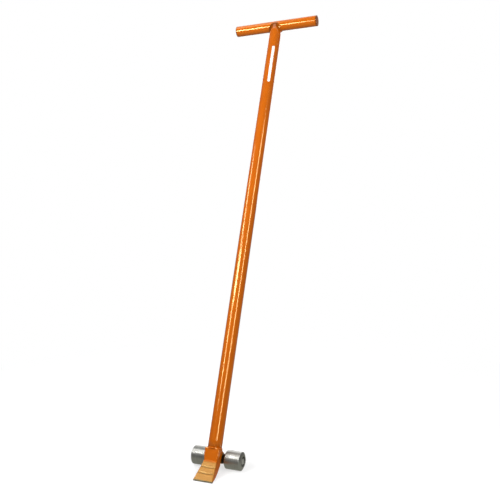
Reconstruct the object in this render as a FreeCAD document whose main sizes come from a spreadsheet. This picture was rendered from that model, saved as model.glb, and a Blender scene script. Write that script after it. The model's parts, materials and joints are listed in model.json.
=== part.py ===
import FreeCAD, Part
import math
import os
import Sketcher
from FreeCAD import Placement, Rotation, Vector

# Roller lever: a long tube with a T-handle, a forged claw and two rollers behind it.
#
# Every piece is drawn in the tool frame: origin at the middle of the axle, X along the axle, Y towards
# the back and Z up the lever. The document frame has its origin on the floor under the axle, with +Z up
# and the lever leaning back by lean_angle, so each piece is placed by the same turn and lift.

SIZES = {
    # Stance
    "lean_angle": 25.0,
    # Lever tube and T-handle
    "shaft_offset": 34.3,
    "tube_radius": 21.2,
    "tube_wall": 3.2,
    "tube_foot": 26.0,
    "handle_height": 1523.5,
    "handle_radius": 19.0,
    "handle_wall": 3.0,
    "handle_half_length": 156.5,
    "ear_drop": 4.0,
    "cap_flange": 2.5,
    "cap_spigot_length": 10.0,
    "cap_spigot_gap": 0.15,
    "cap_edge": 1.6,
    "handle_bead_radius": 4.2,
    "lip_bead_radius": 3.0,
    "corner_bead_radius": 4.3,
    "foot_bead_radius": 2.6,
    "foot_bead_ring": 20.6,
    # Claw, with forward and drop measured from the tube axis and the axle's level
    "claw_half_width": 23.5,
    "waist_half_width": 21.0,
    "waist_rise": 4.0,
    "cheek_half_width": 17.0,
    "cheek_back": 10.0,
    "cheek_round": 6.0,
    "claw_front": 19.5,
    "claw_back": 20.5,
    "claw_back_step": 4.0,
    "bend_forward": 19.0,
    "bend_drop": 10.5,
    "tip_forward": 51.8,
    "tip_drop": 66.7,
    "tip_thickness": 2.2,
    "tip_half_width": 31.2,
    "heel_radius": 150.0,
    "throat_back": 12.0,
    "throat_drop": 13.0,
    "eye_radius": 15.5,
    "shank_round": 4.0,
    "spigot_radius": 17.8,
    "spigot_length": 55.0,
    "spigot_chamfer": 2.0,
    "grip_first": 20.5,
    "grip_pitch": 20.0,
    "grip_depth": 1.8,
    "grip_run": 5.0,
    "grip_rise": 1.2,
    # Axle
    "axle_radius": 9.0,
    "axle_half_length": 81.0,
    "axle_chamfer": 1.0,
    "centre_radius": 2.5,
    "centre_depth": 3.0,
    "pin_radius": 2.5,
    "pin_wall": 0.9,
    "pin_front": 12.0,
    "pin_back": 14.0,
    "pin_slot": 0.4,
    # Rollers and what holds them
    "roller_radius": 27.0,
    "roller_inner": 26.0,
    "roller_outer": 82.0,
    "roller_bore": 12.0,
    "inner_chamfer_length": 5.5,
    "inner_chamfer_depth": 7.5,
    "outer_chamfer_length": 4.5,
    "outer_chamfer_depth": 8.0,
    "recess_radius": 15.0,
    "recess_floor": 75.0,
    "bush_bore": 9.05,
    "bush_length": 20.0,
    "bush_inset": 0.5,
    "bush_chamfer": 0.8,
    "bush_split": 55.0,
    "spacer_radius": 14.0,
    "spacer_bore": 9.1,
    "spacer_edge": 0.8,
    "side_gap": 0.3,
    "washer_radius": 14.0,
    "washer_thickness": 2.5,
    "washer_edge": 0.3,
    "ring_thickness": 1.2,
    "ring_radius": 11.0,
    "ring_lug_radius": 2.1,
    "ring_lug_across": 3.4,
    "ring_lug_up": 10.3,
    "ring_hole_radius": 0.9,
    "ring_gap_half_width": 1.2,
    "groove_radius": 8.5,
    "groove_start": 77.85,
    "groove_width": 1.3,
}

SIDES = (("left", -1), ("right", 1))

doc = FreeCAD.newDocument("roller_lever")
sheet = doc.addObject("Spreadsheet::Sheet", "Sizes")


def fill_sheet():
    """Write each driving size to the sheet as a named cell."""
    for row, (name, value) in enumerate(SIZES.items(), start=1):
        sheet.set(f"A{row}", name)
        sheet.set(f"B{row}", str(value))
        sheet.setAlias(f"B{row}", name)
    doc.recompute()


def sized(text):
    """Value and sheet expression of a signed sum of sizes, such as "tube_radius - tube_wall"."""
    value, sign, words = 0.0, 1, []
    for word in text.split():
        if word in "+-":
            sign = -1 if word == "-" else 1
            words.append(word)
        else:
            value += sign * SIZES[word]
            words.append("Sizes." + word)
    return value, " ".join(words)


def flipped(text, sign):
    """The same sum of sizes on the side that sign gives: unchanged for 1, negated for -1."""
    if sign > 0:
        return text
    words = text.split()
    if words[0] not in "+-":
        words.insert(0, "+")
    return " ".join({"+": "-", "-": "+"}.get(word, word) for word in words)


def stand(piece):
    """Place a piece drawn in the tool frame: lean it back and lift its axle to the rollers' radius."""
    piece.Placement = Placement(Vector(0, 0, SIZES["roller_radius"]),
                                Rotation(Vector(1, 0, 0), -SIZES["lean_angle"]))
    piece.setExpression(".Placement.Base.z", "Sizes.roller_radius")
    piece.setExpression(".Placement.Rotation.Angle", "-Sizes.lean_angle")


def new_body(label):
    body = doc.addObject("PartDesign::Body", label)
    body.Label = label
    return body


def new_sketch(body, name, plane, **moves):
    """A sketch on one of the body's own origin planes; moves shift it along its own x, y or z."""
    sketch = body.newObject("Sketcher::SketchObject", f"{body.Name}_{name}")
    support = next(feature for feature in body.Origin.OriginFeatures if feature.Role == plane)
    sketch.AttachmentSupport = (support, [""])
    sketch.MapMode = "FlatFace"
    for direction, text in moves.items():
        sketch.setExpression(f".AttachmentOffset.Base.{direction}", sized(text)[1])
    return sketch


def fix(sketch, kind, first, second, text):
    """Hold a signed distance between two sketch points; text is a signed sum of sizes."""
    value, expression = sized(text)
    if abs(value) < 1e-9:
        raise ValueError(f"{sketch.Name}: {text} is zero")
    if value < 0:
        first, second, value, expression = second, first, -value, f"-({expression})"
    index = sketch.addConstraint(Sketcher.Constraint(kind, *first, *second, value))
    sketch.setExpression(f"Constraints[{index}]", expression)


def fix_point(sketch, element, end, across, up):
    """Hold a sketch point at its place; "0" puts it on the axis."""
    origin = (-1, 1)
    for kind, text, axis in (("DistanceX", across, -2), ("DistanceY", up, -1)):
        if text == "0":
            sketch.addConstraint(Sketcher.Constraint("PointOnObject", element, end, axis))
        else:
            fix(sketch, kind, origin, (element, end), text)


def place_of(point):
    """Start position of a corner given as two sums of sizes."""
    across, up = (0.0 if text == "0" else sized(text)[0] for text in point)
    return Vector(across, up, 0)


def polygon(sketch, corners):
    """A closed outline whose corners are pairs of sums of sizes."""
    places = [place_of(corner) for corner in corners]
    first = sketch.GeometryCount
    for start, end in zip(places, places[1:] + places[:1]):
        sketch.addGeometry(Part.LineSegment(start, end), False)
    for index, corner in enumerate(corners):
        line = first + index
        before = first + (index - 1) % len(corners)
        sketch.addConstraint(Sketcher.Constraint("Coincident", before, 2, line, 1))
        fix_point(sketch, line, 1, *corner)


def circle(sketch, radius, across="0", up="0"):
    """A full circle whose radius and centre are sums of sizes."""
    value, expression = sized(radius)
    element = sketch.addGeometry(Part.Circle(place_of((across, up)), Vector(0, 0, 1), value), False)
    fix_point(sketch, element, 3, across, up)
    index = sketch.addConstraint(Sketcher.Constraint("Radius", element, value))
    sketch.setExpression(f"Constraints[{index}]", expression)
    return element


def pad(body, sketch, length, both_sides=False):
    """Pad a sketch by a sum of sizes; both_sides pads that far to each side of its plane."""
    feature = body.newObject("PartDesign::Pad", sketch.Name + "_pad")
    feature.Profile = sketch
    expression = sized(length)[1]
    feature.Midplane = both_sides
    feature.setExpression("Length", f"2 * ({expression})" if both_sides else expression)
    sketch.Visibility = False
    doc.recompute()
    return feature


def cut(body, sketch, both_sides=True, reverse=False):
    """Pocket a sketch right through and make sure that it removed something."""
    before = body.Shape.Volume
    feature = body.newObject("PartDesign::Pocket", sketch.Name + "_pocket")
    feature.Profile = sketch
    feature.Type = "ThroughAll"
    feature.Midplane = both_sides
    feature.Reversed = reverse
    doc.recompute()
    if body.Shape.Volume > before - 1e-3:
        raise RuntimeError(f"{feature.Name} cut nothing")
    return feature


def turn(body, sketch, kind="Revolution"):
    """Turn a profile once round its own horizontal axis; kind Groove takes it away."""
    before = body.Shape.Volume if kind == "Groove" else 0
    feature = body.newObject("PartDesign::" + kind, f"{sketch.Name}_{kind.lower()}")
    feature.Profile = sketch
    feature.ReferenceAxis = (sketch, ["H_Axis"])
    feature.Angle = 360
    doc.recompute()
    if kind == "Groove" and body.Shape.Volume > before - 1e-3:
        raise RuntimeError(f"{feature.Name} cut nothing")
    return feature


def dress_edges(body, kind, test, size):
    """Fillet or chamfer the edges of the body's last feature whose middle point passes a test."""
    base = body.Tip
    names = []
    for number, edge in enumerate(base.Shape.Edges, start=1):
        middle = edge.valueAt((edge.FirstParameter + edge.LastParameter) / 2)
        if test(middle):
            names.append(f"Edge{number}")
    feature = body.newObject("PartDesign::" + kind, f"{body.Name}_{size}")
    feature.Base = (base, names)
    feature.setExpression("Radius" if kind == "Fillet" else "Size", sized(size)[1])
    doc.recompute()


def sheet_shape(label, shape):
    """A piece whose shape is made by Part's own functions from the sheet's sizes."""
    piece = doc.addObject("Part::Feature", label)
    piece.Label = label
    piece.Shape = shape
    return piece


def turned_ring(label, start, end, bore, radius, edge, sign):
    """A ring on the axle's line between two places on the side that sign gives, its rims bevelled."""
    body = new_body(label)
    profile = new_sketch(body, "profile", "XZ_Plane")
    outline = [(start, bore), (start, f"{radius} - {edge}"), (f"{start} + {edge}", radius),
               (f"{end} - {edge}", radius), (end, f"{radius} - {edge}"), (end, bore)]
    polygon(profile, [(flipped(across, sign), up) for across, up in outline])
    turn(body, profile)
    return body


# Lever tube and handle ----------------------------------------------------------------------------

def make_lever_tube():
    """Round tube whose top end is notched for the handle, its two ears ending below the handle's axis."""
    body = new_body("lever_tube")
    section = new_sketch(body, "section", "XY_Plane", z="tube_foot", y="- shaft_offset")
    circle(section, "tube_radius")
    circle(section, "tube_radius - tube_wall")
    pad(body, section, "handle_height - ear_drop - tube_foot")
    notch = new_sketch(body, "notch", "YZ_Plane", x="- shaft_offset", y="handle_height")
    circle(notch, "handle_radius")
    cut(body, notch)
    return body


def make_handle_tube():
    """Round cross tube between its two end caps."""
    body = new_body("handle_tube")
    section = new_sketch(body, "section", "YZ_Plane", x="- shaft_offset", y="handle_height")
    circle(section, "handle_radius")
    circle(section, "handle_radius - handle_wall")
    pad(body, section, "handle_half_length - cap_flange", both_sides=True)
    return body


def make_handle_cap(side, sign):
    """Turned end cap: a bevelled flange outside the handle tube and a spigot inside it."""
    body = new_body("handle_cap_" + side)
    profile = new_sketch(body, "profile", "XZ_Plane", z="shaft_offset", y="handle_height")
    end = "handle_half_length"
    root = "handle_half_length - cap_flange"
    inside = root + " - cap_spigot_length"
    spigot = "handle_radius - handle_wall - cap_spigot_gap"
    outline = [(inside, "0"), (end, "0"), (end, "handle_radius - cap_edge"),
               (end + " - cap_edge", "handle_radius"), (root, "handle_radius"), (root, spigot),
               (inside, spigot)]
    polygon(profile, [(flipped(across, sign), up) for across, up in outline])
    turn(body, profile)
    return body


def side_bead(centre, sign):
    """Bead along the line where one side of the notched tube meets the handle, and its two ends."""
    tube, handle = SIZES["tube_radius"], SIZES["handle_radius"]
    top = math.acos(SIZES["ear_drop"] / handle)
    steps = 12
    points = []
    for step in range(-steps, steps + 1):
        angle = top * step / steps
        across = math.sqrt(tube ** 2 - (handle * math.sin(angle)) ** 2)
        points.append(centre + Vector(sign * across, handle * math.sin(angle), -handle * math.cos(angle)))
    line = Part.BSplineCurve()
    line.interpolate(points)
    direction = line.tangent(line.FirstParameter)[0]
    section = Part.Wire(Part.Circle(points[0], direction, SIZES["handle_bead_radius"]).toShape())
    return Part.Wire(line.toShape()).makePipeShell([section], True, False), (points[0], points[-1])


def make_handle_weld():
    """Weld bead round the tee joint: under both sides of the handle and across the two ears."""
    centre = Vector(0, -SIZES["shaft_offset"], SIZES["handle_height"])
    beads = []
    for _, sign in SIDES:
        bead, corners = side_bead(centre, sign)
        beads.append(bead)
        beads += [Part.makeSphere(SIZES["corner_bead_radius"], corner) for corner in corners]
    for corner in corners:
        lip = Part.makeCylinder(SIZES["lip_bead_radius"], 2 * corner.x,
                                Vector(-corner.x, corner.y, corner.z), Vector(1, 0, 0))
        beads.append(lip)
    half = Vector(SIZES["handle_half_length"], 0, 0)
    handle = Part.makeCylinder(SIZES["handle_radius"], 2 * half.x, centre - half, Vector(1, 0, 0))
    lever_length = SIZES["handle_height"] - SIZES["ear_drop"]
    lever = Part.makeCylinder(SIZES["tube_radius"], lever_length, Vector(0, centre.y, 0))
    return sheet_shape("handle_weld", beads[0].multiFuse(beads[1:]).cut([handle, lever]))


# Claw ---------------------------------------------------------------------------------------------

def radius_of(sketch, element, name):
    """Hold the radius of an arc at one of the sizes."""
    index = sketch.addConstraint(Sketcher.Constraint("Radius", element, SIZES[name]))
    sketch.setExpression(f"Constraints[{index}]", "Sizes." + name)


def claw_profile(sketch):
    """Side view of the claw: shank, blade, rounded heel, throat and the eye round the axle."""
    top_back = ("- shaft_offset + claw_back - claw_back_step", "tube_foot")
    top_front = ("- shaft_offset - claw_front", "tube_foot")
    bend = ("- shaft_offset - bend_forward", "- bend_drop")
    tip = ("- shaft_offset - tip_forward", "- tip_drop")
    tip_under = ("- shaft_offset - tip_forward + tip_thickness", "- tip_drop - tip_thickness")
    throat = ("- shaft_offset + throat_back", "- throat_drop")
    shoulder = ("- shaft_offset + claw_back", "tube_foot - claw_back_step")
    corners = (top_back, top_front, bend, tip, tip_under)
    places = [place_of(corner) for corner in corners]
    for start, end in zip(places, places[1:]):
        sketch.addGeometry(Part.LineSegment(start, end), False)
    for line, corner in enumerate(corners[:-1]):
        fix_point(sketch, line, 1, *corner)
        if line:
            sketch.addConstraint(Sketcher.Constraint("Coincident", line - 1, 2, line, 1))
    blade_end = len(corners) - 2
    fix_point(sketch, blade_end, 2, *tip_under)

    start, end = place_of(tip_under), place_of(throat)
    chord = end - start
    bulge = SIZES["heel_radius"] - math.sqrt(SIZES["heel_radius"] ** 2 - chord.Length ** 2 / 4)
    below = Vector(chord.y, -chord.x, 0).normalize() * math.copysign(bulge, chord.x)
    heel = sketch.addGeometry(Part.Arc(start, (start + end) / 2 + below, end), False)
    first, last = (1, 2) if sketch.getPoint(heel, 1).isEqual(start, 1e-6) else (2, 1)
    sketch.addConstraint(Sketcher.Constraint("Coincident", blade_end, 2, heel, first))
    radius_of(sketch, heel, "heel_radius")

    radius = SIZES["eye_radius"]
    low = Vector(0, -radius, 0)
    high = Vector(radius / 2, radius * math.sqrt(3) / 2, 0)
    under = sketch.addGeometry(Part.LineSegment(end, low), False)
    sketch.addConstraint(Sketcher.Constraint("Coincident", heel, last, under, 1))
    fix_point(sketch, under, 1, *throat)
    eye = sketch.addGeometry(Part.Arc(low, Vector(radius, 0, 0), high), False)
    fix_point(sketch, eye, 3, "0", "0")
    radius_of(sketch, eye, "eye_radius")
    back = sketch.addGeometry(Part.LineSegment(high, place_of(shoulder)), False)
    lowest, highest = (1, 2) if sketch.getPoint(eye, 1).isEqual(low, 1e-6) else (2, 1)
    sketch.addConstraint(Sketcher.Constraint("Tangent", under, 2, eye, lowest))
    sketch.addConstraint(Sketcher.Constraint("Tangent", eye, highest, back, 1))
    ledge = sketch.addGeometry(Part.LineSegment(place_of(shoulder), places[0]), False)
    sketch.addConstraint(Sketcher.Constraint("Coincident", back, 2, ledge, 1))
    fix_point(sketch, ledge, 1, *shoulder)
    sketch.addConstraint(Sketcher.Constraint("Coincident", ledge, 2, 0, 1))


def cut_flare(body):
    """Trim the claw's sides: straight shank, waist at the bend, then a flare out to the tip."""
    flare = new_sketch(body, "flare", "XZ_Plane")
    top = "tube_foot + roller_radius"
    for sign in (-1, 1):
        outline = [("claw_half_width", top), ("claw_half_width", "waist_rise"),
                   ("waist_half_width", "- bend_drop"),
                   ("tip_half_width", "- tip_drop"), ("tip_half_width", "- tip_drop - roller_radius"),
                   ("tip_half_width + roller_radius", "- tip_drop - roller_radius"),
                   ("tip_half_width + roller_radius", top)]
        polygon(flare, [(flipped(across, sign), up) for across, up in outline])
    cut(body, flare)


def cut_grips(body):
    """Two cross grooves in the blade's top face, each with a long slope in and a short wall out."""
    angle = "180deg + atan((Sizes.tip_drop - Sizes.bend_drop) / (Sizes.tip_forward - Sizes.bend_forward))"
    for name, along in (("grip_upper", "grip_first"), ("grip_lower", "grip_first + grip_pitch")):
        grip = new_sketch(body, name, "YZ_Plane", x="- shaft_offset - bend_forward", y="- bend_drop")
        grip.setExpression(".AttachmentOffset.Rotation.Angle", angle)
        start, end = along + " - grip_run", along + " + grip_rise"
        polygon(grip, [(start, "- grip_depth"), (start, "0"), (along, "grip_depth"), (end, "0"),
                       (end, "- grip_depth")])
        cut(body, grip)


def cut_cheeks(body):
    """Narrow the back of the claw to the eye's own width and round the shank's two back corners."""
    cheeks = new_sketch(body, "cheeks", "XY_Plane", y="- shaft_offset")
    outside = "tip_half_width + roller_radius"
    back = "shaft_offset + roller_radius"
    for sign in (-1, 1):
        outline = [("cheek_half_width", "cheek_back"), (outside, "cheek_back"), (outside, back),
                   ("cheek_half_width", back)]
        polygon(cheeks, [(flipped(across, sign), up) for across, up in outline])
    cut(body, cheeks)
    corner = SIZES["cheek_back"] - SIZES["shaft_offset"]

    def on_corner(point):
        return (abs(point.y - corner) < 1e-3 and SIZES["waist_rise"] < point.z < SIZES["tube_foot"] - 1
                and abs(point.x) > SIZES["waist_half_width"])

    dress_edges(body, "Fillet", on_corner, "cheek_round")


def round_shank(body):
    """Round the shank's two front corners from its top down to the bend."""
    front = -SIZES["shaft_offset"] - SIZES["claw_front"]

    def on_corner(point):
        return (point.y < front + 1 and -SIZES["bend_drop"] < point.z < SIZES["tube_foot"] - 1
                and abs(point.x) > SIZES["waist_half_width"])

    dress_edges(body, "Fillet", on_corner, "shank_round")


def make_claw():
    """The forging: spigot up the tube, shank, eye for the axle and the flared, grooved blade."""
    body = new_body("claw")
    profile = new_sketch(body, "profile", "YZ_Plane")
    claw_profile(profile)
    pad(body, profile, "tip_half_width", both_sides=True)
    cut_flare(body)
    round_shank(body)
    cut_grips(body)
    cut_cheeks(body)
    spigot = new_sketch(body, "spigot", "XY_Plane", z="tube_foot", y="- shaft_offset")
    circle(spigot, "spigot_radius")
    pad(body, spigot, "spigot_length")
    top = SIZES["tube_foot"] + SIZES["spigot_length"]
    dress_edges(body, "Chamfer", lambda point: abs(point.z - top) < 1e-3, "spigot_chamfer")
    bore = new_sketch(body, "bore", "YZ_Plane")
    circle(bore, "axle_radius")
    cut(body, bore)
    pin_hole = new_sketch(body, "pin_hole", "XZ_Plane", z="pin_front")
    circle(pin_hole, "pin_radius")
    cut(body, pin_hole, both_sides=False)
    return body


def make_claw_weld(claw):
    """Ring bead in the corner between the tube's foot and the claw's shoulder."""
    centre = Vector(0, -SIZES["shaft_offset"], SIZES["tube_foot"])
    bead = Part.makeTorus(SIZES["foot_bead_ring"], SIZES["foot_bead_radius"], centre)
    tube = Part.makeCylinder(SIZES["tube_radius"], SIZES["spigot_length"], centre)
    return sheet_shape("claw_weld", bead.cut([tube, claw.Shape]))


# Axle and what holds it ---------------------------------------------------------------------------

def make_axle():
    """Turned shaft with a ring groove and a centre hole at each end and a cross hole for its pin."""
    body = new_body("axle")
    profile = new_sketch(body, "profile", "XZ_Plane")
    half = [("groove_start", "axle_radius"), ("groove_start", "groove_radius"),
            ("groove_start + groove_width", "groove_radius"),
            ("groove_start + groove_width", "axle_radius"),
            ("axle_half_length - axle_chamfer", "axle_radius"),
            ("axle_half_length", "axle_radius - axle_chamfer"), ("axle_half_length", "0")]
    other = [(flipped(across, -1), up) for across, up in reversed(half)]
    polygon(profile, other + half)
    turn(body, profile)
    for side, sign in SIDES:
        centre = new_sketch(body, "centre_" + side, "XZ_Plane")
        outline = [("axle_half_length - centre_depth", "0"), ("axle_half_length", "0"),
                   ("axle_half_length", "centre_radius")]
        polygon(centre, [(flipped(across, sign), up) for across, up in outline])
        turn(body, centre, "Groove")
    pin_hole = new_sketch(body, "pin_hole", "XZ_Plane")
    circle(pin_hole, "pin_radius")
    cut(body, pin_hole)
    return body


def make_axle_pin():
    """Slotted spring pin through the back of the eye and the axle."""
    body = new_body("axle_pin")
    section = new_sketch(body, "section", "XZ_Plane", z="- pin_back")
    circle(section, "pin_radius")
    circle(section, "pin_radius - pin_wall")
    pad(body, section, "pin_front + pin_back")
    slot = new_sketch(body, "slot", "XZ_Plane")
    polygon(slot, [("- pin_slot", "0"), ("pin_slot", "0"), ("pin_slot", "pin_radius + pin_wall"),
                   ("- pin_slot", "pin_radius + pin_wall")])
    cut(body, slot)
    return body


def make_circlip(side, sign):
    """Retaining ring with a gap and two lugs at the top, each lug with a hole for the pliers."""
    body = new_body("circlip_" + side)
    start = "groove_start" if sign > 0 else "- groove_start - ring_thickness"
    section = new_sketch(body, "section", "YZ_Plane", z=start)
    circle(section, "ring_radius")
    circle(section, "groove_radius")
    pad(body, section, "ring_thickness")
    lugs = new_sketch(body, "lugs", "YZ_Plane", z=start)
    holes = new_sketch(body, "holes", "YZ_Plane")
    for across in ("ring_lug_across", "- ring_lug_across"):
        circle(lugs, "ring_lug_radius", across, "ring_lug_up")
        circle(holes, "ring_hole_radius", across, "ring_lug_up")
    pad(body, lugs, "ring_thickness")
    gap = new_sketch(body, "gap", "YZ_Plane")
    polygon(gap, [("- ring_gap_half_width", "0"), ("ring_gap_half_width", "0"),
                  ("ring_gap_half_width", "ring_radius + ring_lug_radius"),
                  ("- ring_gap_half_width", "ring_radius + ring_lug_radius")])
    cut(body, gap)
    cut(body, holes)
    return body


# Rollers ------------------------------------------------------------------------------------------

def make_roller(side, sign):
    """Turned roller: bevelled at both ends, bored for its bushes, open recess at the outer end."""
    body = new_body("roller_" + side)
    profile = new_sketch(body, "profile", "XZ_Plane")
    outline = [("roller_inner", "roller_bore"), ("roller_inner", "roller_radius - inner_chamfer_depth"),
               ("roller_inner + inner_chamfer_length", "roller_radius"),
               ("roller_outer - outer_chamfer_length", "roller_radius"),
               ("roller_outer", "roller_radius - outer_chamfer_depth"),
               ("roller_outer", "recess_radius"), ("recess_floor", "recess_radius"),
               ("recess_floor", "roller_bore")]
    polygon(profile, [(flipped(across, sign), up) for across, up in outline])
    turn(body, profile)
    return body


def make_wheel_side(side, sign):
    """Everything on the axle at one side of the claw, from the claw outwards."""
    washer_start = "recess_floor + side_gap"
    rings = (("spacer_", "cheek_half_width + side_gap", "roller_inner - side_gap", "spacer_bore",
              "spacer_radius", "spacer_edge"),
             ("bush_inner_", "roller_inner + bush_inset", "roller_inner + bush_inset + bush_length",
              "bush_bore", "roller_bore", "bush_chamfer"),
             ("bush_outer_", "bush_split", "bush_split + bush_length",
              "bush_bore", "roller_bore", "bush_chamfer"),
             ("outer_washer_", washer_start, washer_start + " + washer_thickness", "spacer_bore",
              "washer_radius", "washer_edge"))
    pieces = [turned_ring(name + side, start, end, bore, radius, edge, sign)
              for name, start, end, bore, radius, edge in rings]
    return pieces + [make_roller(side, sign), make_circlip(side, sign)]


# Build, check and write ---------------------------------------------------------------------------

def make_pieces():
    pieces = [make_lever_tube(), make_handle_tube(), make_handle_weld(), make_claw()]
    pieces += [make_claw_weld(pieces[-1]), make_axle(), make_axle_pin()]
    for side, sign in SIDES:
        pieces.append(make_handle_cap(side, sign))
        pieces += make_wheel_side(side, sign)
    for piece in pieces:
        stand(piece)
    doc.recompute()
    return pieces


def check(pieces):
    """Stop if anything in the document failed or a piece isn't one sound solid."""
    for item in doc.Objects:
        if {"Invalid", "Error"} & set(item.State):
            raise RuntimeError(f"{item.Name} failed to compute")
    for piece in pieces:
        shape = piece.Shape
        if shape.isNull() or not shape.isValid() or len(shape.Solids) != 1:
            raise RuntimeError(f"{piece.Label} isn't one sound solid")


fill_sheet()
all_pieces = make_pieces()
check(all_pieces)
os.makedirs("parts", exist_ok=True)
for one in all_pieces:
    one.Shape.exportStep(f"parts/{one.Label}.step")
    print(f"{one.Label}: {one.Shape.Volume / 1000:.1f} cm3")
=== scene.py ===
import json
import math
import random

import bmesh
import bpy
import numpy as np
from mathutils import Matrix, Vector, noise


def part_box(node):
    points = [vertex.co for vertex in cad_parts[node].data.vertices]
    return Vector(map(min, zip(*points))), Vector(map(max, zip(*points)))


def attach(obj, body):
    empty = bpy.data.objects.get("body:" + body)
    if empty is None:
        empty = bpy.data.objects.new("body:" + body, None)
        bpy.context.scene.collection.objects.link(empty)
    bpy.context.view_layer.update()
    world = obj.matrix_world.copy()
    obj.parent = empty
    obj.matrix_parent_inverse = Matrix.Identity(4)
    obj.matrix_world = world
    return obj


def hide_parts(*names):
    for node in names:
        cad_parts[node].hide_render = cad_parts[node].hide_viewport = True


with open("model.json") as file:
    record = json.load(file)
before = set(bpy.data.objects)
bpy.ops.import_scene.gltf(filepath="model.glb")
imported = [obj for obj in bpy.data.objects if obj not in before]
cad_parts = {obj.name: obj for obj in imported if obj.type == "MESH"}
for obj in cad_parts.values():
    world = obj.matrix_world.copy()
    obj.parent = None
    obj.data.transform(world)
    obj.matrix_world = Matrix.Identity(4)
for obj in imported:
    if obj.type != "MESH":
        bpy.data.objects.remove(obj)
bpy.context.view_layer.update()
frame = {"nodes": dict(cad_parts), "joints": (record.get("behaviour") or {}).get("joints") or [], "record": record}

# Roller lever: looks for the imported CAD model. Pieces are drawn in the tool frame, in millimetres:
# origin at the middle of the axle, X along the axle, Y towards the back and Z up the lever tube.

mounts = {mount["name"]: mount for mount in frame["record"]["mounts"]}
MM = 0.001
FULL_TURN = 2 * math.pi


def tool_matrix():
    """The tool frame's place in the row frame: the axle's middle, the axle and the tube's direction."""
    up = Vector(mounts["lever_clip_zone"]["axis"])
    across = Vector(frame["joints"][0]["axis"])
    axle = sum((Vector(joint["pos_m"]) for joint in frame["joints"]), Vector()) / len(frame["joints"])
    matrix = Matrix((across, up.cross(across), up)).transposed().to_4x4()
    matrix.translation = axle
    return matrix


TOOL = tool_matrix()


def in_tool(point):
    """A row frame point in metres as a tool frame point in millimetres."""
    return (TOOL.inverted() @ Vector(point)) / MM


# Sizes in millimetres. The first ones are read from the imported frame.
SHAFT_Y = in_tool(mounts["lever_clip_zone"]["pos_m"]).y
TUBE_R = mounts["lever_clip_zone"]["dims"]["r_mm"]
HANDLE_Z = in_tool(mounts["grip_left"]["pos_m"]).z
HANDLE_R = mounts["grip_left"]["dims"]["r_mm"]
HANDLE_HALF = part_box("handle_cap_right")[1].x / MM
HANDLE_TUBE_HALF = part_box("handle_tube")[1].x / MM
LOAD = in_tool(mounts["load_face"]["pos_m"])
BLADE_UP = (TOOL.to_3x3().inverted() @ Vector(mounts["load_face"]["axis"])).normalized()
BLADE_DOWN = Vector((1, 0, 0)).cross(BLADE_UP)
TUBE_WALL = 3.2
HANDLE_WALL = 3.0
EAR_DROP = 4.0           # from the handle's axis down to the lips of the tube's notch
FOOT_Z = 26.0            # the tube's lower end, on the claw's shoulder
LOAD_ALONG = 54.0        # down the blade, from its bend to the middle of the load face
GROOVES = (18.3, 38.3)   # middles of the cross grooves, down the blade from its bend
GROOVE_HALF = 3.6
BEND_HALF_WIDTH = 21.0
TIP_HALF_WIDTH = 31.2


# Camera, floor and light, in metres in the row frame ------------------------------------------------

CAMERA_AIM = Vector((0.0145, 0.2610, 0.6271))
CAMERA_AZIMUTH, CAMERA_ELEVATION, CAMERA_ROLL = (math.radians(angle) for angle in (22.92, 5.45, -1.8))
CAMERA_DISTANCE = 2.0162
CAMERA_LENS = 44.18
STRIP_WIDTH = 0.34
STRIP_RADIANCE = 18.0


def add_camera():
    """The camera, in front of the tool and a little to its right."""
    forward = Vector((-math.sin(CAMERA_AZIMUTH) * math.cos(CAMERA_ELEVATION),
                      math.cos(CAMERA_AZIMUTH) * math.cos(CAMERA_ELEVATION), -math.sin(CAMERA_ELEVATION)))
    level = Vector((math.cos(CAMERA_AZIMUTH), math.sin(CAMERA_AZIMUTH), 0))
    right = level * math.cos(CAMERA_ROLL) + level.cross(forward) * math.sin(CAMERA_ROLL)
    matrix = Matrix((right, right.cross(forward), -forward)).transposed().to_4x4()
    matrix.translation = CAMERA_AIM - forward * CAMERA_DISTANCE
    data = bpy.data.cameras.new("camera")
    data.sensor_width = 36
    data.lens = CAMERA_LENS
    camera = bpy.data.objects.new("camera", data)
    bpy.context.scene.collection.objects.link(camera)
    camera.matrix_world = matrix
    bpy.context.scene.camera = camera


def softbox(name, matrix, size, radiance):
    """A rectangular light, as bright as the radiance says and unseen by the camera."""
    data = bpy.data.lights.new(name, "AREA")
    data.shape = "RECTANGLE"
    data.size, data.size_y = size
    data.energy = radiance * math.pi * size[0] * size[1]
    light = bpy.data.objects.new(name, data)
    bpy.context.scene.collection.objects.link(light)
    light.matrix_world = matrix
    light.visible_camera = False
    return light


def add_area(name, place, target, size, radiance, turn=0.0):
    """A softbox that faces its target, turned about its own middle."""
    facing = (Vector(target) - Vector(place)).to_track_quat("-Z", "Y").to_matrix().to_4x4()
    matrix = Matrix.Translation(place) @ facing @ Matrix.Rotation(turn, 4, "Z")
    return softbox(name, matrix, size, radiance)


def add_strip(name, low, high, target):
    """A long softbox between two points, turned about its length to face its target."""
    low, high = Vector(low), Vector(high)
    length = (high - low).normalized()
    middle = (low + high) / 2
    back = middle - Vector(target)
    back = (back - length * back.dot(length)).normalized()
    matrix = Matrix((length.cross(back), length, back)).transposed().to_4x4()
    matrix.translation = middle
    return softbox(name, matrix, (STRIP_WIDTH, (high - low).length), STRIP_RADIANCE)


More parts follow.
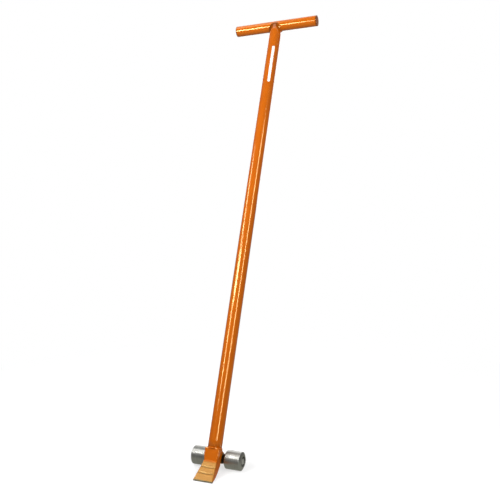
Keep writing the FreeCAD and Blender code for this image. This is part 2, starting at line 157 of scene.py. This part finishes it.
def add_lights():
    """The softboxes; returns the three that are kept off some pieces."""
    shaft, foot, handle = (0, 0.18, 0.54), (0, 0.2, 0.3), (-0.08, 0.61, 1.42)
    left = add_strip("left_strip", (-1.06, -1.98, 1.37), (-1.90, -0.36, 2.51), shaft)
    add_strip("right_strip", (1.58, -2.25, 0.60), (1.99, -0.01, 2.59), shaft)
    top = add_area("blade_light", (-1.40, -0.15, 2.95), (0, 0, 0.1), (1.7, 1.0), 2.6, turn=math.radians(90))
    front = add_area("handle_light", (-0.60, -0.95, 1.56), handle, (0.50, 0.34), 28.0)
    add_area("overhead", (0.2, 1.3, 2.6), foot, (2.4, 1.6), 1.0)
    add_area("back_card", (-0.6, 3.2, 1.5), (0, 0.3, 0.7), (2.6, 1.8), 2.2)
    return left, top, front


def keep_off(light, pieces):
    """Keep a light off some pieces, as a studio flag does."""
    flagged = bpy.data.collections.new(light.name + "_flag")
    for piece in pieces:
        flagged.objects.link(piece)
    light.light_linking.receiver_collection = flagged
    for entry in flagged.collection_objects:
        entry.light_linking.link_state = "EXCLUDE"


def add_world():
    """White behind the object, a grey gradient from floor to ceiling for light and reflections."""
    world = bpy.data.worlds.new("world")
    bpy.context.scene.world = world
    net = Nodes(world)
    upward = net.split(net.node("ShaderNodeTexCoord").outputs["Generated"])[2]
    gradient = net.node("ShaderNodeValToRGB", {"Fac": net.span(upward, -1.0, 1.0)})
    stops = gradient.color_ramp.elements
    stops[0].position = 0.36
    stops[0].color = (0.40, 0.40, 0.35, 1)
    stops[1].position = 0.9
    stops[1].color = (0.25, 0.25, 0.255, 1)
    stops.new(0.5).color = (0.14, 0.14, 0.135, 1)
    grey = net.node("ShaderNodeBackground", {"Color": gradient.outputs["Color"]})
    white = net.node("ShaderNodeBackground", {"Color": (1, 1, 1, 1)})
    seen = net.node("ShaderNodeLightPath").outputs["Is Camera Ray"]
    mix = net.node("ShaderNodeMixShader", {0: seen, 1: grey.outputs[0], 2: white.outputs[0]})
    net.finish(mix.outputs[0], "ShaderNodeOutputWorld")


def add_floor():
    """White floor that takes a soft shadow near the object and fades into the white behind it."""
    half, below = 20.0, 0.0002
    mesh = bpy.data.meshes.new("floor")
    mesh.from_pydata([(-half, -half, 0), (half, -half, 0), (half, half, 0), (-half, half, 0)], [],
                     [(0, 1, 2, 3)])
    floor = bpy.data.objects.new("floor", mesh)
    floor.location.z = -below
    bpy.context.scene.collection.objects.link(floor)
    net = Nodes(bpy.data.materials.new("floor_white"))
    radius = net.math("LENGTH", net.coords(), vector=True)
    far = net.span(radius, 0.25, 1.6, 0.62, 1.0)
    near = net.node("ShaderNodeBsdfDiffuse", {"Color": (0.93, 0.93, 0.93, 1)})
    glow = net.node("ShaderNodeEmission", {"Color": (1, 1, 1, 1), "Strength": 1.0})
    mix = net.node("ShaderNodeMixShader", {0: far, 1: near.outputs[0], 2: glow.outputs[0]})
    mesh.materials.append(net.finish(mix.outputs[0]))
    floor.visible_glossy = False
    floor.visible_diffuse = False


# Materials ------------------------------------------------------------------------------------------

class Nodes:
    """The node tree of a material or world; its calls add one node each and return that node's output."""

    def __init__(self, data):
        self.data = data
        self.data.use_nodes = True
        self.tree = self.data.node_tree
        self.tree.nodes.clear()

    def node(self, kind, inputs=None, **settings):
        """A new node itself, with its settings made and its inputs linked or filled in."""
        node = self.tree.nodes.new(kind)
        for name, value in settings.items():
            setattr(node, name, value)
        for name, value in (inputs or {}).items():
            if isinstance(value, bpy.types.NodeSocket):
                self.tree.links.new(value, node.inputs[name])
            else:
                node.inputs[name].default_value = value
        return node

    def coords(self, scale=None, turn=(0, 0, 0)):
        """Tool frame coordinates in metres, scaled when a scale in cycles per metre is given."""
        place = self.node("ShaderNodeTexCoord").outputs["Object"]
        back = TOOL.inverted()
        place = self.node("ShaderNodeMapping", {"Vector": place, "Location": back.translation,
                                                "Rotation": back.to_euler()}).outputs[0]
        if scale is None:
            return place
        return self.node("ShaderNodeMapping", {"Vector": place, "Scale": scale, "Rotation": turn}).outputs[0]

    def split(self, vector):
        """Outputs X, Y and Z of a vector."""
        return self.node("ShaderNodeSeparateXYZ", {0: vector}).outputs

    def join(self, x, y, z):
        """Vector of three values."""
        return self.node("ShaderNodeCombineXYZ", {0: x, 1: y, 2: z}).outputs[0]

    def noise(self, vector, scale, detail=3.0, roughness=0.5):
        """Fractal noise, mostly between 0.3 and 0.7."""
        return self.node("ShaderNodeTexNoise", {"Vector": vector, "Scale": scale, "Detail": detail,
                                                "Roughness": roughness}).outputs["Fac"]

    def attribute(self, name):
        """A value stored on the mesh's vertices."""
        return self.node("ShaderNodeAttribute", attribute_name=name).outputs["Fac"]

    def math(self, operation, first, second=None, vector=False):
        """One operation on one or two values; a vector's length comes out as a value."""
        kind = "ShaderNodeVectorMath" if vector else "ShaderNodeMath"
        inputs = {0: first} if second is None else {0: first, 1: second}
        return self.node(kind, inputs, operation=operation).outputs["Value" if vector else 0]

    def span(self, value, low, high, to_low=0.0, to_high=1.0):
        """Value mapped from low..high to to_low..to_high, clamped."""
        return self.node("ShaderNodeMapRange", {"Value": value, "From Min": low, "From Max": high,
                                                "To Min": to_low, "To Max": to_high}).outputs[0]

    def blend(self, amount, first, second):
        """Colour between first and second; each is a socket or three plain numbers."""
        first, second = (colour if isinstance(colour, bpy.types.NodeSocket) else (*colour, 1)
                         for colour in (first, second))
        inputs = {"Factor": amount, 6: first, 7: second}
        return self.node("ShaderNodeMix", inputs, data_type="RGBA").outputs[2]

    def bump(self, height, distance, normal=None):
        """Normal of a surface raised by a height times a distance, on top of another normal."""
        inputs = {"Height": height, "Distance": distance, "Strength": 1.0}
        if normal is not None:
            inputs["Normal"] = normal
        return self.node("ShaderNodeBump", inputs).outputs[0]

    def finish(self, shader, output="ShaderNodeOutputMaterial"):
        """Connect the last shader and return the material or world."""
        self.node(output, {"Surface": shader})
        return self.data


# Colours are linear, noise scales are in cycles per metre and bump distances in metres.
ORANGE = (0.47, 0.098, 0.0012)
ORANGE_DEEP = (0.43, 0.087, 0.0012)
ORANGE_DUSTY = (0.58, 0.20, 0.03)
SHEEN = (1.0, 0.80, 0.36, 1.0)
PRINT_WHITE = (0.84, 0.82, 0.78)
BLADE_OCHRE = (0.34, 0.138, 0.017)
# Painted shade: the dark colour laid into the claw's hollows, its throat and its grooves.
HOLLOW_SHADE = (0.105, 0.050, 0.006)
# Dark steel of worn edges; at the tip it also paints the shade of the tip's front edge.
WORN_STEEL_AND_TIP_SHADE = ((0.06, 0.050, 0.028), (0.20, 0.165, 0.09))
STEEL = (0.47, 0.47, 0.44)
STEEL_DARK = (0.22, 0.21, 0.17)

# The white bar printed on the lever tube, in metres: its middle up the tube, its half length without
# the round ends and their radius. It sits a little to the right of the tube's front.
MARK_Z = 1.349
MARK_HALF = 0.070
MARK_R = 0.0045
MARK_FADE = 0.0004
MARK_ANGLE = math.radians(25)


def mark_ink(net, place):
    """Amount of white print: a bar with round ends, a few pinholes in it."""
    x, y, z = net.split(place)
    angle = net.math("ARCTAN2", x, net.math("SUBTRACT", SHAFT_Y * MM, y))
    around = net.math("MULTIPLY", net.math("SUBTRACT", angle, MARK_ANGLE), TUBE_R * MM)
    beyond = net.math("SUBTRACT", net.math("ABSOLUTE", net.math("SUBTRACT", z, MARK_Z)), MARK_HALF)
    reach = net.math("LENGTH", net.join(net.math("MAXIMUM", beyond, 0.0), around, 0.0), vector=True)
    ink = net.span(reach, MARK_R, MARK_R + MARK_FADE, 1.0, 0.0)
    return net.math("MULTIPLY", ink, net.span(net.noise(place, 900.0, 3.0, 0.7), 0.26, 0.32))


def worn(net, place, colour, rough, normal):
    """Shader inputs of the claw's paint: matt ochre blade, painted shade in hollows, throat and grooves, bare
    steel at edges, and a dark tip that is worn steel and painted shade of its front edge.
    """
    hollow_shade_and_edges, tip_shade_and_wear, blade = net.attribute("hollow_shade_and_edges"), net.attribute("tip_shade_and_wear"), net.attribute("blade")
    colour = net.blend(net.span(blade, 0.5, 0.85, 0.0, 0.9), colour, BLADE_OCHRE)
    rough = net.math("ADD", rough, net.span(blade, 0.0, 0.4, 0.0, 0.20))
    bend = net.math("MULTIPLY", blade, net.math("SUBTRACT", 1.0, blade))
    sheen = net.span(bend, 0.0, 0.25, 0.5, 0.12)
    speck = net.noise(place, 420.0, 6.0, 0.7)
    # Painted shade: hollows, the throat behind the shank and the cross grooves are darkened, with a little
    # speckle.
    hollow_shade = net.span(net.math("ADD", hollow_shade_and_edges, net.math("MULTIPLY", speck, 0.10)), 0.15, 0.34, 0.0, 0.85)
    colour = net.blend(hollow_shade, colour, HOLLOW_SHADE)
    # Painted shade: the dark steel at the tip also stands for the shade on the tip's front edge.
    tip_shade_and_rub = net.math("ADD", tip_shade_and_wear, net.math("MULTIPLY", net.math("SUBTRACT", speck, 0.5), 0.9))
    edge = net.math("SUBTRACT", net.math("MULTIPLY", hollow_shade_and_edges, -1.0), net.math("MULTIPLY", speck, 0.55))
    bare_and_tip_shade = net.math("MAXIMUM", net.span(tip_shade_and_rub, 0.52, 0.60), net.span(edge, 0.02, 0.07))
    colour = net.blend(bare_and_tip_shade, colour, net.blend(speck, *WORN_STEEL_AND_TIP_SHADE))
    rough = net.math("ADD", rough, net.math("MULTIPLY", net.math("MAXIMUM", bare_and_tip_shade, hollow_shade), 0.22))
    normal = net.bump(net.math("MULTIPLY", bare_and_tip_shade, -1.0), 0.00015, normal)
    return {"Base Color": colour, "Roughness": rough, "Normal": normal,
            "Metallic": net.math("MULTIPLY", bare_and_tip_shade, 0.7), "Specular IOR Level": sheen}


def paint(name, mark=False, claw=False, tone=1.0):
    """Gloss enamel with orange peel, faint colour drift and scuffs; tone darkens it, which paints shade into the
    colour.
    """
    net = Nodes(bpy.data.materials.new(name))
    place = net.coords()
    drift = net.span(net.noise(place, 14.0, 4.0), 0.35, 0.65)
    deep, full = (tuple(tone * part for part in shade) for shade in (ORANGE_DEEP, ORANGE))
    dust = net.span(net.noise(net.coords((260, 260, 40)), 1.0, 5.0, 0.6), 0.60, 0.80, 0.0, 0.16)
    colour = net.blend(dust, net.blend(drift, deep, full), ORANGE_DUSTY)
    rough = net.span(net.noise(place, 60.0, 5.0, 0.6), 0.3, 0.7, 0.10, 0.16)
    rough = net.math("ADD", rough, net.math("MULTIPLY", dust, 0.6))
    if mark:
        colour = net.blend(mark_ink(net, place), colour, PRINT_WHITE)
    peel = net.noise(place, 620.0, 2.0, 0.45)
    sag = net.noise(place, 90.0, 2.0, 0.4)
    normal = net.bump(peel, 0.00005, net.bump(sag, 0.00012))
    inputs = {"Base Color": colour, "Roughness": rough, "Normal": normal, "IOR": 1.7, "Specular Tint": SHEEN}
    if claw:
        inputs.update(worn(net, place, colour, rough, normal))
    return net.finish(net.node("ShaderNodeBsdfPrincipled", inputs).outputs[0])


def turned_steel(name, tones, roughness, groove, seed=0.0):
    """Machined steel: fine lathe marks round the axle's line, oil and handling stains, small dents."""
    net = Nodes(bpy.data.materials.new(name))
    x, y, z = net.split(net.coords())
    radius = net.math("LENGTH", net.join(y, z, 0.0), vector=True)
    place = net.join(net.math("ADD", x, seed), y, z)
    rings = net.noise(net.join(x, radius, seed), 4200.0, 3.0, 0.7)
    bands = net.noise(net.join(x, radius, seed + 3.0), 420.0, 3.0, 0.6)
    stain = net.span(net.noise(place, 38.0, 6.0, 0.6), 0.45, 0.80)
    dark, bright = tones
    colour = net.blend(net.span(bands, 0.3, 0.7), tuple(0.82 * tone for tone in bright), bright)
    colour = net.blend(net.math("MULTIPLY", stain, 0.5), colour, dark)
    rough = net.span(stain, 0.0, 1.0, roughness, roughness + 0.16)
    rough = net.math("ADD", rough, net.span(rings, 0.2, 0.8, -0.04, 0.05))
    nick = net.span(net.noise(place, 300.0, 2.0, 0.5), 0.74, 0.80)
    normal = net.bump(rings, groove, net.bump(nick, -0.0001))
    tangent = net.node("ShaderNodeTangent", direction_type="RADIAL", axis="X").outputs[0]
    shader = net.node("ShaderNodeBsdfPrincipled", {"Base Color": colour, "Metallic": 1.0, "Roughness": rough,
                                                 "Normal": normal, "Anisotropic": 0.3, "Tangent": tangent})
    return net.finish(shader.outputs[0])


def plain_steel(name, tones, roughness, grain=260.0):
    """Stamped or ground steel and sintered bronze, seen only close up."""
    net = Nodes(bpy.data.materials.new(name))
    stain = net.noise(net.coords(), grain, 5.0, 0.65)
    scratch = net.noise(net.coords((4000, 500, 500), (0.3, 0.5, 0.2)), 1.0, 3.0, 0.6)
    colour = net.blend(net.span(stain, 0.35, 0.68), *tones)
    rough = net.span(stain, 0.3, 0.7, roughness, roughness + 0.18)
    normal = net.bump(scratch, 0.00002, net.bump(stain, 0.00004))
    shader = net.node("ShaderNodeBsdfPrincipled", {"Base Color": colour, "Metallic": 1.0, "Roughness": rough,
                                                 "Normal": normal})
    return net.finish(shader.outputs[0])


# Mesh helpers ---------------------------------------------------------------------------------------

def add_piece(name, vertices, faces, material, nodes, body="lever"):
    """A closed smooth mesh drawn in tool millimetres that stands for some CAD nodes."""
    mesh = bpy.data.meshes.new(name)
    mesh.from_pydata([Vector(vertex) * MM for vertex in vertices], [], faces)
    edit = bmesh.new()
    edit.from_mesh(mesh)
    bmesh.ops.remove_doubles(edit, verts=edit.verts, dist=1e-7)
    bmesh.ops.recalc_face_normals(edit, faces=edit.faces)
    edit.to_mesh(mesh)
    edit.free()
    return show(name, mesh, material, nodes, body)


def show(name, mesh, material, nodes, body="lever"):
    """Show a mesh drawn in tool frame metres as a piece of the object."""
    mesh.transform(TOOL)
    mesh.polygons.foreach_set("use_smooth", [True] * len(mesh.polygons))
    mesh.materials.append(material)
    piece = bpy.data.objects.new(name, mesh)
    bpy.context.scene.collection.objects.link(piece)
    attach(piece, body)
    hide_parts(*nodes)
    return piece


def ring_faces(rings, points):
    """Faces of a closed loop of rings, each a closed loop of the same number of points."""
    faces = []
    for ring in range(rings):
        here, there = ring * points, (ring + 1) % rings * points
        for point in range(points):
            following = (point + 1) % points
            faces.append((here + point, here + following, there + following, there + point))
    return faces


def rounded(corners, radii, steps=5, support=0.6):
    """A closed outline with each corner turned into an arc, and a point on the straight beside it."""
    outline = []
    count = len(corners)
    for index in range(count):
        corner = Vector(corners[index])
        if radii[index] == 0:
            outline.append(corner)
            continue
        before = Vector(corners[index - 1]) - corner
        after = Vector(corners[(index + 1) % count]) - corner
        half = before.angle(after) / 2
        run = radii[index] / math.tan(half)
        run = min(run, before.length * 0.4, after.length * 0.4)
        radius = run * math.tan(half)
        first, last = before.normalized(), after.normalized()
        centre = corner + (first + last).normalized() * (radius / math.sin(half))
        start, end = corner + first * run, corner + last * run
        arm, other = start - centre, end - centre
        sweep = arm.angle(other)
        if before.length - run > 3 * support:
            outline.append(start + first * support)
        for step in range(steps + 1):
            share = step / steps
            outline.append(centre + (arm * math.sin((1 - share) * sweep) + other * math.sin(share * sweep))
                           / math.sin(sweep))
        if after.length - run > 3 * support:
            outline.append(end + last * support)
    return outline


def lathe(outline, segments, centre=(0.0, 0.0)):
    """Vertices and faces of a closed outline of (across, radius) turned about a line along X."""
    vertices = []
    for step in range(segments):
        angle = FULL_TURN * step / segments
        for across, radius in outline:
            vertices.append((across, centre[0] + radius * math.sin(angle),
                             centre[1] + radius * math.cos(angle)))
    return vertices, ring_faces(segments, len(outline))


def even_loop(points, spacing):
    """Points at even spacing round a closed line through the given points."""
    lengths = [(points[(i + 1) % len(points)] - points[i]).length for i in range(len(points))]
    count = round(sum(lengths) / spacing)
    step = sum(lengths) / count
    result, index, walked = [], 0, 0.0
    for number in range(count):
        target = number * step
        while walked + lengths[index] < target:
            walked += lengths[index]
            index += 1
        share = (target - walked) / lengths[index]
        result.append(points[index].lerp(points[(index + 1) % len(points)], share))
    return result


def eased(points, rounds):
    """A closed line with its corners relaxed."""
    for _ in range(rounds):
        points = [(points[i - 1] + points[i] * 2 + points[(i + 1) % len(points)]) / 4
                  for i in range(len(points))]
    return points


def bead(path, outward, widths, heights, seed, sections=28, pitch=2.3, ripple=0.16):
    """Weld bead round a closed path: overlapping crescents of slightly uneven size.

    For each path point, outward is the direction that it faces, widths is half the bead's width along
    the joined surfaces and heights is how far it stands out of them.
    """
    draw = random.Random(seed)
    count = len(path)
    steps = [(path[(index + 1) % count] - path[index]).length for index in range(count)]
    travelled = np.concatenate(([0.0], np.cumsum(steps)[:-1]))
    crescents = round(sum(steps) / pitch)
    pitch = sum(steps) / crescents
    swell = [draw.uniform(-1, 1) for _ in range(crescents)]
    vertices = []
    for index, point in enumerate(path):
        tangent = (path[(index + 1) % count] - path[index - 1]).normalized()
        face = (outward[index] - tangent * outward[index].dot(tangent)).normalized()
        across = tangent.cross(face)
        lump = 1 + 0.10 * noise.noise(point * 0.16 + Vector((seed, 0, 0)))
        for section in range(sections):
            angle = FULL_TURN * section / sections
            phase = travelled[index] / pitch + 0.35 * math.cos(angle) ** 2
            cell = math.floor(phase) % crescents
            part = phase - math.floor(phase)
            crest = (1 - part) ** 0.7 * min(1.0, part / 0.16)
            grown = ripple * (crest - 0.6) * (1 + 0.4 * swell[cell])
            vertices.append(point + across * math.cos(angle) * (widths[index] * lump + grown)
                            + face * math.sin(angle) * (heights[index] * lump + grown))
    return vertices, ring_faces(count, sections)


# Lever and handle -----------------------------------------------------------------------------------

def add_lever_tube(material):
    """The lever tube, its upper end fitted round the underside of the handle."""
    segments, rows = 144, 60

    def top(radius, angle):
        ahead = radius * math.cos(angle)
        under_handle = HANDLE_Z - math.sqrt(max(0.0, HANDLE_R ** 2 - ahead ** 2))
        return min(under_handle, HANDLE_Z - EAR_DROP)

    vertices = []
    levels = [row / rows for row in range(rows + 1)]
    for radius, order in ((TUBE_R, levels), (TUBE_R - TUBE_WALL, levels[::-1])):
        for share in order:
            for step in range(segments):
                angle = FULL_TURN * step / segments
                height = FOOT_Z + (top(radius, angle) - FOOT_Z) * share
                vertices.append((radius * math.sin(angle), SHAFT_Y - radius * math.cos(angle), height))
    faces = ring_faces(len(vertices) // segments, segments)
    return add_piece("lever_tube_painted", vertices, faces, material, ["lever_tube"])


def add_handle(material, shaded_cap_material):
    """Handle tube and its two ground-flush end caps, a hairline between them; returns the caps."""
    segments, centre = 120, (SHAFT_Y, HANDLE_Z)
    inner = HANDLE_R - HANDLE_WALL
    spigot = inner - 0.15
    end = HANDLE_TUBE_HALF
    corners = [(-end, inner), (-end, HANDLE_R), (end, HANDLE_R), (end, inner)]
    vertices, faces = lathe(rounded(corners, [0.2, 0.35, 0.35, 0.2]), segments, centre)
    add_piece("handle_tube_painted", vertices, faces, material, ["handle_tube"])
    caps = []
    for side, sign in (("left", -1), ("right", 1)):
        node = "handle_cap_" + side
        inside = min(abs(edge.x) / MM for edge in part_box(node))
        corners = [(inside, 0.0), (HANDLE_HALF, 0.0), (HANDLE_HALF, HANDLE_R), (end, HANDLE_R),
                   (end, spigot), (inside, spigot)]
        outline = rounded(corners, [0.0, 0.0, 1.9, 0.3, 0.2, 0.6], steps=7)
        outline = [(sign * across, radius) for across, radius in outline]
        vertices, faces = lathe(outline, segments, centre)
        # The caps take the darker enamel: painted shade for their end faces.
        caps.append(add_piece("handle_cap_painted_" + side, vertices, faces, shaded_cap_material, [node]))
    return caps


WELD_SPACING = 0.4


def tee_path():
    """Closed line of the tee joint: round the handle on both sides and across both lips."""
    limit = math.acos(EAR_DROP / HANDLE_R)
    steps = 40
    sides = {}
    for sign in (-1, 1):
        points = []
        for step in range(-steps, steps + 1):
            angle = limit * step / steps
            across = math.sqrt(TUBE_R ** 2 - (HANDLE_R * math.sin(angle)) ** 2)
            points.append(Vector((sign * across, SHAFT_Y + HANDLE_R * math.sin(angle),
                                  HANDLE_Z - HANDLE_R * math.cos(angle))))
        sides[sign] = points
    return sides[1] + sides[-1][::-1]


def add_tee_weld(material):
    """Weld between tube and handle: broad and sunk where the two run side by side, at the lips."""
    path, outward, widths, heights = [], [], [], []
    for point in eased(even_loop(tee_path(), WELD_SPACING), 60):
        from_tube = Vector((point.x, point.y - SHAFT_Y, 0)).normalized()
        from_handle = Vector((0, point.y - SHAFT_Y, point.z - HANDLE_Z)).normalized()
        face = (from_tube + from_handle).normalized()
        closeness = max(0.0, from_tube.dot(from_handle))
        shoulder = math.sin(math.pi * min(1.0, closeness / 0.88))
        sunk = 0.6 + 3.4 * closeness
        path.append(point - face * sunk)
        outward.append(face)
        widths.append(4.4 + 5.0 * closeness + 1.0 * shoulder)
        heights.append(1.9 + sunk + 1.6 * shoulder)
    vertices, faces = bead(path, outward, widths, heights, 11, sections=56, ripple=0.10)
    return add_piece("handle_weld_painted", vertices, faces, material, ["handle_weld"])


def add_claw_weld(material):
    """Ring weld between the tube's foot and the claw's shoulder."""
    radius, steps = 20.6, 400
    ring = []
    for step in range(steps):
        angle = FULL_TURN * step / steps
        ring.append(Vector((radius * math.sin(angle), SHAFT_Y - radius * math.cos(angle), FOOT_Z)))
    ring = even_loop(ring, WELD_SPACING)
    outward = [Vector((point.x, point.y - SHAFT_Y, -8.0)).normalized() for point in ring]
    vertices, faces = bead(ring, outward, [2.9] * len(ring), [2.2] * len(ring), 29, pitch=2.6, ripple=0.24)
    add_piece("claw_weld_painted", vertices, faces, material, ["claw_weld"])


# Claw -----------------------------------------------------------------------------------------------

def ramp(values, start, end):
    """0 at start and before it, 1 at end and past it; start may lie above end."""
    return np.clip((values - start) / (end - start), 0, 1)


def relaxed(places, edges, rounds, factor=0.5):
    """Vertex places after some rounds of averaging with their neighbours; factor may differ by vertex."""
    degree = np.bincount(edges.ravel(), minlength=len(places)).astype(float)[:, None]
    for _ in range(rounds):
        total = np.zeros_like(places)
        np.add.at(total, edges[:, 0], places[edges[:, 1]])
        np.add.at(total, edges[:, 1], places[edges[:, 0]])
        places = places + factor * (total / degree - places)
    return places


def vertex_vectors(mesh, name):
    """A mesh's vertex places or normals as an array of rows."""
    values = np.zeros(len(mesh.vertices) * 3)
    mesh.vertices.foreach_get(name, values)
    return values.reshape(-1, 3)


def forged_claw_mesh():
    """The CAD claw remeshed finely in the tool frame."""
    edit = bmesh.new()
    edit.from_mesh(frame["nodes"]["claw"].data)
    bmesh.ops.remove_doubles(edit, verts=edit.verts, dist=1e-6)
    bmesh.ops.transform(edit, matrix=TOOL.inverted(), verts=edit.verts)
    mesh = bpy.data.meshes.new("claw_source")
    edit.to_mesh(mesh)
    edit.free()
    source = bpy.data.objects.new("claw_source", mesh)
    bpy.context.scene.collection.objects.link(source)
    remesh = source.modifiers.new("voxels", "REMESH")
    remesh.mode = "VOXEL"
    remesh.voxel_size = 0.7 * MM
    remesh.adaptivity = 0.0
    graph = bpy.context.evaluated_depsgraph_get()
    result = bpy.data.meshes.new_from_object(source.evaluated_get(graph))
    bpy.data.objects.remove(source)
    return result


def blade_coordinates(places):
    """How far each place lies down the blade from its bend, and how deep under its upper face."""
    offset = places - np.array(LOAD - BLADE_DOWN * LOAD_ALONG)
    return offset @ np.array(BLADE_DOWN), -(offset @ np.array(BLADE_UP))


def painted_hollow_shade(places, along, depth):
    """Painted shade in the throat behind the shank and in the cross grooves, added to the hollowness."""
    hollow_shade = 0.30 * ramp(places[:, 1] - SHAFT_Y, 9, 13) * ramp(places[:, 2], 20, 14)
    for middle in GROOVES:
        groove = ramp(np.abs(along - middle), GROOVE_HALF, 0) * ramp(depth, 4, 2)
        hollow_shade += 0.15 * np.minimum(1, 1.6 * groove)
    return hollow_shade


def inside_cad_box(places, node):
    """Tool frame places in millimetres, kept inside a node's box in the row frame."""
    low, high = (np.array(corner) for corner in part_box(node))
    rotation, origin = np.array(TOOL.to_3x3()), np.array(TOOL.translation)
    row = np.clip((places * MM) @ rotation.T + origin, low, high)
    return (row - origin) @ rotation / MM


def add_claw(material):
    """Forged claw: soft edges, slightly bowed cross grooves, uneven skin, painted shade in its hollows and a dark
    tip (wear and painted shade).
    """
    mesh = forged_claw_mesh()
    edges = np.zeros(len(mesh.edges) * 2, np.int64)
    mesh.edges.foreach_get("vertices", edges)
    edges = edges.reshape(-1, 2)
    places = relaxed(vertex_vectors(mesh, "co") / MM, edges, 5)

    # The blade's long edges are rounder than the others.
    along, depth = blade_coordinates(places)
    reach = along.max()
    half_width = np.interp(along, (0, reach), (BEND_HALF_WIDTH, TIP_HALF_WIDTH))
    rim = ramp(np.abs(places[:, 0]) - half_width, -4.5, -2)
    rim *= ramp(along, -2, 4) * ramp(along, reach, reach - 4)
    places = relaxed(places, edges, 22, 0.5 * rim[:, None])

    # The cross grooves sag towards the tip in their middle.
    grooved = ramp(along, 4, 12) * ramp(along, 58, 44) * ramp(depth, 5, 2)
    bow = 1.5 * (1 - (places[:, 0] / 24) ** 2) + 0.35 * np.sin(places[:, 0] * 0.22 + 0.8)
    places += (grooved * bow)[:, None] * np.array(BLADE_DOWN)
    mesh.vertices.foreach_set("co", (places * MM).ravel())
    mesh.update()
    normals = vertex_vectors(mesh, "normal")

    # Uneven forged skin, but not round the axle nor under the tube's foot.
    slow = np.array([noise.fractal(Vector(place) * 0.075, 1.0, 2.0, 3) for place in places])
    fine = np.array([noise.noise(Vector(place) * 0.5 + Vector((7, 3, 1))) for place in places])
    from_axle = np.hypot(places[:, 1], places[:, 2])
    skin = ramp(from_axle, 17, 20) * ramp(places[:, 2], FOOT_Z, FOOT_Z - 3)
    push = skin * (0.22 * slow + 0.05 * fine - 0.08)
    hollow_shade_and_edges = ((relaxed(places, edges, 10) - places) * normals).sum(1)
    places = places + normals * push[:, None]
    # Painted shade: the throat and the cross grooves count as hollows, so the paint darkens there.
    hollow_shade_and_edges += painted_hollow_shade(places, along, depth)
    places = inside_cad_box(places, "claw")
    mesh.vertices.foreach_set("co", (places * MM).ravel())

    # Marks for the paint: hollowness with painted shade, the dark tip (painted shade and wear) and the blade's
    # upper face.
    marks = {"hollow_shade_and_edges": hollow_shade_and_edges, "tip_shade_and_wear": ramp(along, reach - 9, reach),
             "blade": ramp(along, -7, 7) * ramp(depth, 3.6, 1.6)}
    for name, values in marks.items():
        attribute = mesh.attributes.new(name, "FLOAT", "POINT")
        attribute.data.foreach_set("value", values.astype(np.float32))
    mesh.update()
    mesh.name = "claw_forged"
    show("claw_forged", mesh, material, ["claw"])


# Rollers --------------------------------------------------------------------------------------------

def add_rollers(material):
    """The two turned rollers: chamfered ends, and a recess in the outer one for the circlip."""
    bore, recess, recess_depth = 12.0, 15.0, 7.0
    pieces = []
    for side, sign in (("left", -1), ("right", 1)):
        node = "roller_" + side
        low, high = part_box(node)
        near, far = sorted(abs(edge.x) / MM for edge in (low, high))
        radius = (high.z - low.z) / 2 / MM
        floor = far - recess_depth
        corners = [(near, bore), (near, radius - 7.5), (near + 5.5, radius), (far - 4.5, radius),
                   (far, radius - 8.0), (far, recess), (floor, recess), (floor, bore)]
        outline = rounded(corners, [0.3, 0.9, 1.4, 1.4, 0.9, 0.5, 0.3, 0.3], steps=6)
        outline = [(sign * across, size) for across, size in outline]
        vertices, faces = lathe(outline, 180)
        pieces.append(add_piece("roller_turned_" + side, vertices, faces, material,
                                [node], node))
    return pieces


def dress_cad_nodes():
    """Materials for the small CAD pieces that stay as they are."""
    ground = turned_steel("axle_ground", ((0.20, 0.19, 0.16), (0.58, 0.58, 0.56)), 0.24, 0.00001, 5.0)
    spring = plain_steel("spring_phosphated", ((0.030, 0.030, 0.032), (0.11, 0.11, 0.11)), 0.38)
    black = plain_steel("spacer_black", ((0.018, 0.018, 0.018), (0.055, 0.053, 0.05)), 0.36)
    bronze = plain_steel("bush_bronze", ((0.34, 0.20, 0.08), (0.62, 0.42, 0.20)), 0.34, 900.0)
    materials = {"axle": ground, "axle_pin": spring}
    for side in ("left", "right"):
        materials["outer_washer_" + side] = ground
        materials["circlip_" + side] = spring
        materials["spacer_" + side] = black
        materials["bush_inner_" + side] = bronze
        materials["bush_outer_" + side] = bronze
    for name, material in materials.items():
        node = frame["nodes"][name]
        if node.material_slots:
            for holder in node.material_slots:
                holder.material = material
        else:
            node.data.materials.append(material)


bpy.context.scene.view_settings.view_transform = "Standard"
add_camera()
add_floor()
add_world()
left_strip, blade_light, handle_light = add_lights()
enamel = paint("enamel")
tube = add_lever_tube(paint("enamel_marked", mark=True))
# The end caps take half-tone enamel: painted shade, since their end faces turn away from the light.
caps = add_handle(enamel, paint("enamel_cap_shaded", tone=0.5))
tee_weld = add_tee_weld(enamel)
add_claw_weld(enamel)
add_claw(paint("enamel_worn", claw=True))
rollers = add_rollers(turned_steel("roller_steel", (STEEL_DARK, STEEL), 0.34, 0.000012))
keep_off(left_strip, rollers + caps + [tee_weld])
keep_off(blade_light, [tube, tee_weld])
keep_off(handle_light, caps + [tee_weld])
dress_cad_nodes()
